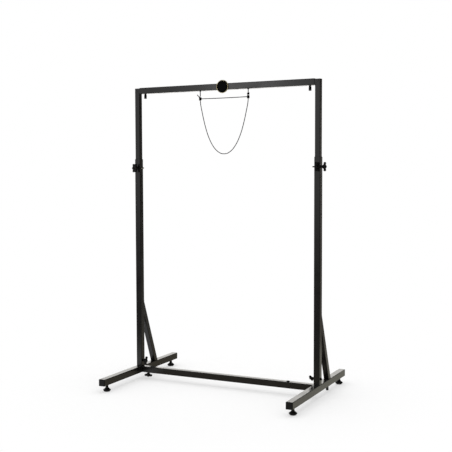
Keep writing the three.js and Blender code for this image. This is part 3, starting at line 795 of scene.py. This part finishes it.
def knobPart(standOff):
    # one moulding: a hub, two round lobes and a web between them, melted together in small voxels
    height, neck, centre, ease = (wings[key] for key in ("height", "neck", "centre", "ease"))
    face, wide, lobe, dimple = (wings[key] for key in ("face", "hub", "lobe", "dimple"))
    narrow = face + (wide - face) * standOff / neck
    floor = height - wings["dimpleDepth"]
    hub = turnedPart(eased([(0, standOff, 0), (narrow, standOff, wings["faceEase"]), (wide, neck, 0),
                            (wide, height, wings["hubEase"]),
                            (dimple + wings["dimpleLip"], height, wings["lipEase"]),
                            (dimple, floor, wings["floorEase"]), (0, floor, 0)]))
    lobeX, half = wings["span"] / 2 - lobe, wings["thick"] / 2
    drum = turnedPart(eased([(0, -half, 0), (lobe, -half, ease), (lobe, half, ease), (0, half, 0)], steps=6))
    drums = [moved(drum, (away * lobeX, 0, centre), axisY, axisX) for away in (-1, 1)]
    # the web is square in section, then flattened to its thickness
    small, large = (half - ease, ease * wings["webCorner"]), (half, ease)
    inset = lobeX - wings["webInset"]
    web, webFaces = ringStack([(*small, -lobeX), (*large, -inset), (*large, inset), (*small, lobeX)])
    web = moved((web * [wings["web"] / half, 1, 1], webFaces), (0, 0, centre), axisX, axisZ)
    # the flare is a flat outline in XZ carried along Y
    flare, shoulder = wings["flare"], wings["shoulder"]
    foot = neck - flare + face
    outline = np.array([(-face, foot), (face, foot), (flare, neck), (shoulder, centre), (-shoulder, centre),
                        (-flare, neck)], float)
    flanks = [np.insert(outline, 1, y * wings["flareDeep"], axis=1) for y in (-0.5, 0.5)]
    points, faces = joined([hub, web, (np.vstack(flanks), cappedFaces(2, len(outline))), *drums])
    mould, mesh = addMesh("mould", points, faces)
    melt = mould.modifiers.new("melt", "REMESH")
    melt.mode = "VOXEL"
    melt.voxel_size = wings["voxel"]
    melt.adaptivity = 0
    soften = mould.modifiers.new("soften", "SMOOTH")
    soften.factor = wings["soften"]
    soften.iterations = wings["softenTimes"]
    made = mould.evaluated_get(bpy.context.evaluated_depsgraph_get()).to_mesh()
    result = np.empty(3 * len(made.vertices))
    made.vertices.foreach_get("co", result)
    result = result.reshape(-1, 3)
    result[:, 2] = np.clip(result[:, 2], standOff, height)
    quads = [list(face.vertices) for face in made.polygons]
    bpy.data.objects.remove(mould)
    bpy.data.meshes.remove(mesh)
    return result, quads


overBoss = knobPart(boss["height"] + seat)
onFace = knobPart(seat)
screws = {"radius": 3.95, "clampReach": 2.2, "bolt": 3.97, "boltTop": 19.6, "boltThread": 24, "lockTip": 15,
          "footTip": 7.5}
knobTurns = {"left_bar": 58, "right_bar": 70, "brace": 70, "left_foot": 20, "right_foot": 55}


def addKnobs():
    # on each side six wing knobs, the short screws in four of them, two long bolts and a nut
    outerSize, legSize = tubes["outer"]["size"], tubes["leg"]["size"]
    half, clampReach = outerSize / 2, screws["clampReach"]
    braceReach = legSize + seat + brace["plate"]
    for side, sign in sides:
        x = middle(f"{side}_upper_post")[0]
        lock, foot = (middle(f"{side}_{bolt}_bolt")[2] for bolt in ("lock", "foot"))
        lockAt, lockFrontAt = (x + sign * half, 0, lock), (x, -half, lock)
        footAt = (x - sign * half, 0, foot)
        crossbarAt = (middle(f"{side}_crossbar_knob")[0], 0, cadSpan("crossbar")[1][2] - outerSize)
        barAt = (middle(f"{side}_bar_knob")[0], 0, middle(f"{side}_bar_stub")[2] - half)
        braceAt = (x, middle(f"{side}_brace_knob")[1], cadSpan(f"{side}_leg")[0][2])
        footTurn = math.radians(knobTurns[f"{side}_foot"])
        footWings = math.cos(footTurn) * axisZ - sign * math.sin(footTurn) * axisY
        turns = (math.radians(knobTurns[key]) for key in ("brace", f"{side}_bar"))
        braceWings, barWings = (math.cos(turn) * axisX - math.sin(turn) * axisY for turn in turns)
        # label, body, frame node, place of its face, way out, way of its wings, shape, reach of its screw
        rows = [
            ("lock", "lock_knob", "lock_knob", lockAt, sign * axisX, axisZ, overBoss, 0),
            ("front", "front_screw", "front_knob", lockFrontAt, -axisY, axisZ, overBoss, clampReach),
            ("post_foot", "post_foot_screw", "foot_knob", footAt, -sign * axisX, footWings, onFace, 0),
            ("crossbar", "crossbar_screw", "crossbar_knob", crossbarAt, -axisZ, axisX, overBoss, clampReach),
            ("brace", "brace_screw", "brace_knob", braceAt, -axisZ, braceWings, onFace, braceReach),
            ("bar", "bar_screw", "bar_knob", barAt, -axisZ, barWings, overBoss, clampReach),
        ]
        for label, body, node, at, outward, across, shape, reach in rows:
            makePiece(f"{side}_{label}_wing_knob", [moved(shape, at, outward, across)], "black_plastic",
                      f"{side}_{body}", [f"{side}_{node}"], sharp=80, keepFlat=False)
            if reach:
                screw = screwPart(screws["radius"], -reach, wings["neck"], wings["neck"])
                makePiece(f"{side}_{label}_screw", [moved(screw, at, outward, across)], "zinc_steel",
                          f"{side}_{body}")
        # label, body, frame node, finish, place of the knob's face, way out, how far the tip stands out
        bolts = [("lock", "lock_bolt", "lock_bolt", "zinc_steel", lockAt, sign * axisX, screws["lockTip"]),
                 ("post_foot", "post_foot_screw", "foot_bolt", "black_steel", footAt, -sign * axisX,
                  screws["footTip"])]
        for label, body, node, slot, at, outward, tip in bolts:
            end = -outerSize - tip
            bolt = screwPart(screws["bolt"], end, screws["boltTop"], end + screws["boltThread"])
            makePiece(f"{side}_{label}_long_bolt", [moved(bolt, at, outward, axisZ)], slot, f"{side}_{body}",
                      [f"{side}_{node}"])
        nutAt = (x + sign * (half + seat), 0, foot)
        footNut = moved(nutPart(nut["across"], nut["height"], bores["bolt"]), nutAt, sign * axisX, axisZ)
        makePiece(f"{side}_post_foot_nut", [footNut], "black_steel", "base", [f"{side}_foot_bolt_nut"])
    print("knobs and screws made")


addKnobs()


# Feet, caps, plug: outlines are corners of (radius, height, easing)

bell = {"outside": [(15, 0, 1.2), (21.5, 7.5, 2), (21.1, 10.5, 1.6), (10.3, 18.9, 5), (7.7, 25, 6)],
        "hub": 7.5, "hubEase": 0.6, "bore": 4.3, "boreEase": 0.4, "socket": 18, "socketEase": 0.3,
        "arcSteps": 7, "around": 64}


def bellPart(height):
    # moulded foot: flat sole, round rim, hollow flank up to a straight hub with a bore for the stud
    floor = height - bell["socket"]
    profile = eased([(0, 0, 0), *bell["outside"], (bell["hub"], height, bell["hubEase"]),
                     (bell["bore"], height, bell["boreEase"]), (bell["bore"], floor, bell["socketEase"]),
                     (0, floor, 0)], bell["arcSteps"])
    return turnedPart(profile, bell["around"])


def addFeet():
    # four feet, each a bell on its threaded stud
    for side, _ in sides:
        for end, _ in ends:
            pad, stud = f"{end}_{side}_foot_pad", f"{end}_{side}_foot_stud"
            body = f"{end}_{side}_foot"
            x, y, _ = middle(pad)
            makePiece(f"{end}_{side}_foot_bell", [moved(bellPart(cadSpan(pad)[1][2]), (x, y, 0))],
                      "foot_rubber", body, [pad], sharp=50, keepFlat=False)
            low, high = cadSpan(stud)
            screw = screwPart(screws["bolt"], 0, high[2] - low[2], high[2] - low[2])
            makePiece(f"{end}_{side}_foot_thread", [moved(screw, (x, y, low[2]))], "zinc_steel", body, [stud])


cap = {"flange": 4, "round": 1.8, "dome": 0.5, "brim": 0.3, "gap": 0.4,
       "plug": 20, "plugWall": 2, "plugCorner": 2.6, "lead": 0.8, "leadLength": 1.2, "leadCorner": 2,
       "floor": 0.6, "hollowCorner": 1.4, "mouth": 0.5, "mouthCorner": 1.6,
       "roundDegrees": (0, 22, 45, 67, 90), "domeShares": (0.8, 0.6, 0.4, 0.2)}


def capPart():
    # end cap: a square plug with a hollow back and a rounded flange, domed by d (1 - s^2) at the share s
    # of its width
    half, corner = tubes["leg"]["size"] / 2, tubes["leg"]["corner"]
    plugHalf = half - tubes["leg"]["wall"] - cap["gap"]
    hollow = plugHalf - cap["plugWall"]
    edge = cap["flange"] - cap["dome"]
    deep, mouth, brim = cap["plug"], cap["mouth"], cap["brim"]
    rings = [(hollow, cap["hollowCorner"], -cap["floor"]), (hollow, cap["hollowCorner"], mouth - deep),
             (hollow + mouth, cap["mouthCorner"], -deep), (plugHalf - cap["lead"], cap["leadCorner"], -deep),
             (plugHalf, cap["plugCorner"], cap["leadLength"] - deep), (plugHalf, cap["plugCorner"], 0),
             (half - brim, corner, 0), (half, corner, brim)]
    for t in np.radians(cap["roundDegrees"]):
        rings.append((half - cap["round"] * (1 - math.cos(t)), corner,
                      edge - cap["round"] * (1 - math.sin(t))))
    for share in cap["domeShares"]:
        rings.append(((half - cap["round"]) * share, corner * share, edge + cap["dome"] * (1 - share ** 2)))
    return ringStack(rings)


def addCaps():
    # a cap in each end of both legs
    for side, _ in sides:
        for end, back in ends:
            node = f"{end}_{side}_cap"
            low, high = cadSpan(node)
            x, _, z = middle(node)
            tip = high[1] if back > 0 else low[1]
            part = moved(capPart(), (x, tip - back * cap["flange"], z), back * axisY, axisX)
            makePiece(f"{end}_{side}_end_cap", [part], "black_plastic", "base", [node], sharp=40)


# the dome's corners are shares of the head and the height
plug = {"stem": 6, "depth": 7, "lead": 0.6, "leadLength": 1.5, "leadEase": 0.8, "head": 9.5, "height": 4.5,
        "dome": [(1, 0, 0.4), (0.96, 0.38, 2), (0.6, 0.86, 5)]}


def addPlug():
    # snap-in plug: a low dome on a stem with a leading cone
    stem, deep, head, tall = plug["stem"], plug["depth"], plug["head"], plug["height"]
    dome = [(head * wide, seat + tall * high, ease) for wide, high, ease in plug["dome"]]
    profile = eased([(0, -deep, 0), (stem - plug["lead"], -deep, plug["leadEase"]),
                     (stem, plug["leadLength"] - deep, 0), (stem, seat, 0), *dome, (0, seat + tall, 0)],
                    steps=6)
    at = (middle("crossbar_plug")[0], 0, cadSpan("crossbar")[1][2])
    makePiece("crossbar_cover_plug", [moved(turnedPart(profile), at)], "black_plastic", "base",
              ["crossbar_plug"], sharp=50, keepFlat=False)


addFeet()
addCaps()
addPlug()
print("feet, caps and plug made")


# Hooks and badge

hook = {"wire": 2.5, "bowl": 6, "stem": 28, "shank": 10, "turn": 240, "step": 0.6, "ease": 1.2, "around": 28,
        "bowlPoints": 49, "stemPoints": 40, "blend": 3, "collar": 5, "collarHeight": 2, "overlap": 0.3,
        "lowerEase": 0.5, "upperEase": 0.3, "nutAcross": 8, "nutHeight": 4}


def hookPart():
    # wire: stem straight down, then a bowl in the YZ plane, y = R cos a, z = c + R sin a; the corner
    # between them is left to the smooth line, and both end edges are rounded
    bowl, blend, ease = hook["bowl"], hook["blend"], hook["ease"]
    angle = np.radians(np.linspace(90, 90 + hook["turn"], hook["bowlPoints"]))
    low = -hook["stem"] - bowl
    bowlPath = np.stack([angle * 0, bowl * np.cos(angle), low + bowl * np.sin(angle)], -1)
    stemPath = np.linspace(hook["shank"], -hook["stem"], hook["stemPoints"])[:, None] * axisZ
    route = smoothRoute(np.vstack([stemPath[:-blend], bowlPath[blend:]]), hook["step"])
    along = reachAlong(route)
    inside = np.clip(np.minimum(along, along[-1] - along) / ease, 0, 1)
    size = hook["wire"] - ease * (1 - np.sqrt(1 - (1 - inside) ** 2))
    return sweptPart(route, size[:, None], hook["around"], axisX)


def addHooks():
    # hooks with a collar under the bar and a lock nut inside it
    wire = hookPart()
    bottom, inner = -seat - hook["collarHeight"], hook["wire"] - hook["overlap"]
    collar = turnedPart(eased([(inner, bottom, 0), (hook["collar"], bottom, hook["lowerEase"]),
                               (hook["collar"], -seat, hook["upperEase"]), (inner, -seat, 0)]))
    lockNut = nutPart(hook["nutAcross"], hook["nutHeight"], bores["hook"])
    for side, _ in sides:
        x, nutLow = middle(f"{side}_hook")[0], cadSpan(f"{side}_hook_nut")[0][2]
        at = (x, 0, nutLow - tubes["outer"]["wall"] - seat)
        makePiece(f"{side}_hook_wire", [moved(wire, at), moved(collar, at)], "black_steel", "upper_frame",
                  [f"{side}_hook"], sharp=40, keepFlat=False)
        makePiece(f"{side}_hook_lock_nut", [moved(lockNut, (x, 0, nutLow))], "zinc_steel", "upper_frame",
                  [f"{side}_hook_nut"])


# groove: how far in from the disc's edge it starts, is deepest and ends; dome: share of the bore's radius,
# share of the rise to the middle, and easing
badge = {"radius": 36, "ring": 3, "depth": 4, "edge": 2, "middle": 3, "groove": (2.7, 3.3, 3.9),
         "grooveDepth": 0.4, "grooveEase": 0.2, "edgeEase": 0.5, "dome": [(0.66, 0.5, 30), (0.33, 0.85, 0)],
         "ringEases": (0.2, 1.4, 1.2), "around": 128}


def addBadge():
    # a thin disc, slightly domed inside a fine groove, in a ring with a round front
    x, _, z = middle("badge_ring")
    at = (x, cadSpan("badge_ring")[1][1], z)
    outer, edge, ease, deep = badge["radius"], badge["edge"], badge["grooveEase"], badge["depth"]
    bore = outer - badge["ring"]
    disc, rise = bore - seat, badge["middle"] - edge
    starts, deepest, finishes = (disc - inward for inward in badge["groove"])
    plate = eased([(0, 0, 0), (disc, 0, 0), (disc, edge, badge["edgeEase"]), (starts, edge, 0),
                   (deepest, edge - badge["grooveDepth"], ease), (finishes, edge, ease),
                   *[(bore * share, edge + high * rise, arc) for share, high, arc in badge["dome"]],
                   (0, badge["middle"], 0)], steps=5)
    backEase, outerEase, innerEase = badge["ringEases"]
    rim = eased([(bore, 0, 0), (outer, 0, backEase), (outer, deep, outerEase), (bore, deep, innerEase),
                 (bore, 0, 0)], steps=8)[:-1]
    for name, outline, slot, node, sharp in (("badge_disc", plate, "badge_black", "badge_plate", 30),
                                             ("badge_rim", rim, "brass_ring", "badge_ring", 40)):
        part = moved(turnedPart(outline, badge["around"]), at, -axisY, axisX)
        makePiece(name, [part], slot, "upper_frame", [node], sharp=sharp, keepFlat=False)


addHooks()
addBadge()
print("hooks and badge made")


# Floor, sky and lamps

# lamps: place, point that they face, width and height, power in watts, and whether gloss mirrors them;
# cards are flat panels beside, over and on the floor round the stand that glow and only its gloss shows,
# painted reflections, all darker than the white sky and floor: two opposite corners, tint and brightness.
# The floor takes shadow near the stand and is plain white past clearTo. A lamp that faces down or up by a
# share of more than facesDown has its top towards +Y, and the others +Z
stage = {
    "floorReach": 30, "clearFrom": 0.75, "clearTo": 1.3, "leastClear": 0.45, "paper": "fafafa", "fill": 0.78,
    "facesDown": 0.99,
    "lamps": {
        "overhead": {"at": (0, 0.4, 4.5), "to": (0, 0.4, 0), "size": (5.2, 5.2), "watts": 75,
                     "tint": "ffffff", "mirrored": False},
        "rear": {"at": (-2.4, 5.3, 1.6), "to": (0, 0, 0.6), "size": (4, 1.5), "watts": 23, "tint": "fffaf0",
                 "mirrored": True},
        "front": {"at": (-1.5, -3.6, 2.1), "to": (0, 0, 1.7), "size": (0.6, 0.6), "watts": 4.2,
                  "tint": "ffffff", "mirrored": True},
    },
    "cards": {
        "ceiling": {"from": (-4, -7, 4.2), "to": (4, 7.2, 4.2), "tint": "fff8f6", "grey": 0.05},
        "rearHigh": {"from": (-1.3, 7.2, 2.3), "to": (3.5, 7.2, 4.2), "tint": "fff8f6", "grey": 0.05},
        "behind": {"from": (-0.6, -7, 0), "to": (3.5, -7, 4), "tint": "fff8f6", "grey": 0.03},
        "wing": {"from": (3.5, -7, 0), "to": (3.5, 7.2, 4), "tint": "fff6e4", "grey": 0.08},
        "wall": {"from": (3.5, 7.2, 0), "to": (3.5, 14, 4), "tint": "fff6e4", "grey": 0.38},
        "nearGround": {"from": (-14, -14, 0.004), "to": (3.5, -0.8, 0.004), "tint": "fff6f2", "grey": 0.18},
        "farGround": {"from": (0.2, 1.3, 0.004), "to": (3.5, 14, 0.004), "tint": "fff6e4", "grey": 0.26},
        "between": {"from": (-0.53, -0.8, 0.004), "to": (0.53, 1.3, 0.004), "tint": "fff4dc", "grey": 0.38},
        "rightGround": {"from": (0.58, -0.8, 0.004), "to": (3.5, 1.3, 0.004), "tint": "fffceb", "grey": 0.68},
    },
}


def seenDirectly(tree):
    # 1 for rays from the camera and from glossy or clear surfaces, else 0
    rays = addNode(tree, "LightPath")
    seen = (rays, "Is Camera Ray")
    for ray in ("Is Glossy Ray", "Is Transmission Ray"):
        seen = (addNode(tree, "Math", {0: seen, 1: (rays, ray)}, operation="MAXIMUM"), "Value")
    return seen


def flatPanel(name, low, high, material):
    # a level or upright rectangle: its corners go from low along its first axis, then its second
    first, second = np.diag(np.subtract(high, low))[np.not_equal(high, low)]
    corners = np.array(low) + [first * 0, first, first + second, second]
    panel, mesh = addMesh(name, corners, [(0, 1, 2, 3)])
    mesh.materials.append(material)
    return panel


def addFloor():
    # near the stand the floor takes light and shadow, and further out it fades to plain white
    material, tree = newMaterial("paperFloor")
    place = addNode(tree, "TexCoord")
    distance = addNode(tree, "VectorMath", {0: (place, "Object")}, operation="LENGTH")
    far = addNode(tree, "MapRange", {
        "Value": (distance, "Value"), "From Min": stage["clearFrom"], "From Max": stage["clearTo"],
        "To Min": stage["leastClear"]}, interpolation_type="SMOOTHSTEP")
    share = addNode(tree, "Math", {0: (far, "Result"), 1: seenDirectly(tree)}, operation="MULTIPLY")
    paper = addNode(tree, "BsdfDiffuse", {"Color": linearColour(stage["paper"])})
    white = addNode(tree, "Emission", {"Color": (1, 1, 1, 1), "Strength": 1})
    mix = addNode(tree, "MixShader", {0: (share, "Value"), 1: (paper, "BSDF"), 2: (white, "Emission")})
    addNode(tree, "OutputMaterial", {"Surface": (mix, "Shader")})
    reach = stage["floorReach"]
    flatPanel("floor", (-reach, -reach, 0), (reach, reach, 0), material)


def addCards():
    # panels that only glossy rays meet
    for name, card in stage["cards"].items():
        material, tree = newMaterial(f"{name}Card")
        # each card glows with its tint and brightness where only gloss meets it: a painted reflection. The
        # ones on the ground show a greyer, warmer floor in the tubes' gloss than the white floor that the
        # camera sees
        reflectedGlow = addNode(tree, "Emission", {"Color": linearColour(card["tint"]), "Strength": card["grey"]})
        addNode(tree, "OutputMaterial", {"Surface": (reflectedGlow, "Emission")})
        panel = flatPanel(f"{name}_card", card["from"], card["to"], material)
        for ray in ("camera", "diffuse", "transmission", "shadow", "volume_scatter"):
            setattr(panel, f"visible_{ray}", False)


def addSky():
    # white behind the stand, and a softer white that lights it
    world = bpy.data.worlds.new("studio")
    bpy.context.scene.world = world
    world.use_nodes = True
    tree = world.node_tree
    tree.nodes.clear()
    strength = addNode(tree, "MapRange", {
        "Value": seenDirectly(tree), "To Min": stage["fill"], "To Max": 1})
    sky = addNode(tree, "Background", {"Color": (1, 1, 1, 1), "Strength": (strength, "Result")})
    addNode(tree, "OutputWorld", {"Surface": (sky, "Background")})


def addLamps():
    # each lamp's own +Z points away from what it faces
    for name, spec in stage["lamps"].items():
        data = bpy.data.lights.new(name, "AREA")
        data.shape = "RECTANGLE"
        data.size, data.size_y = spec["size"]
        data.energy = spec["watts"]
        data.color = linearColour(spec["tint"])[:3]
        lamp = addObject(name, data)
        lamp.visible_camera = False
        lamp.visible_glossy = spec["mirrored"]
        back = unit(np.subtract(spec["at"], spec["to"]))
        across = unit(np.cross(axisY if abs(back[2]) > stage["facesDown"] else axisZ, back))
        lamp.matrix_world = poseMatrix(across, np.cross(back, across), back, spec["at"])


addFloor()
addCards()
addSky()
addLamps()
bpy.context.scene.view_settings.view_transform = "Standard"
print("stage lit")
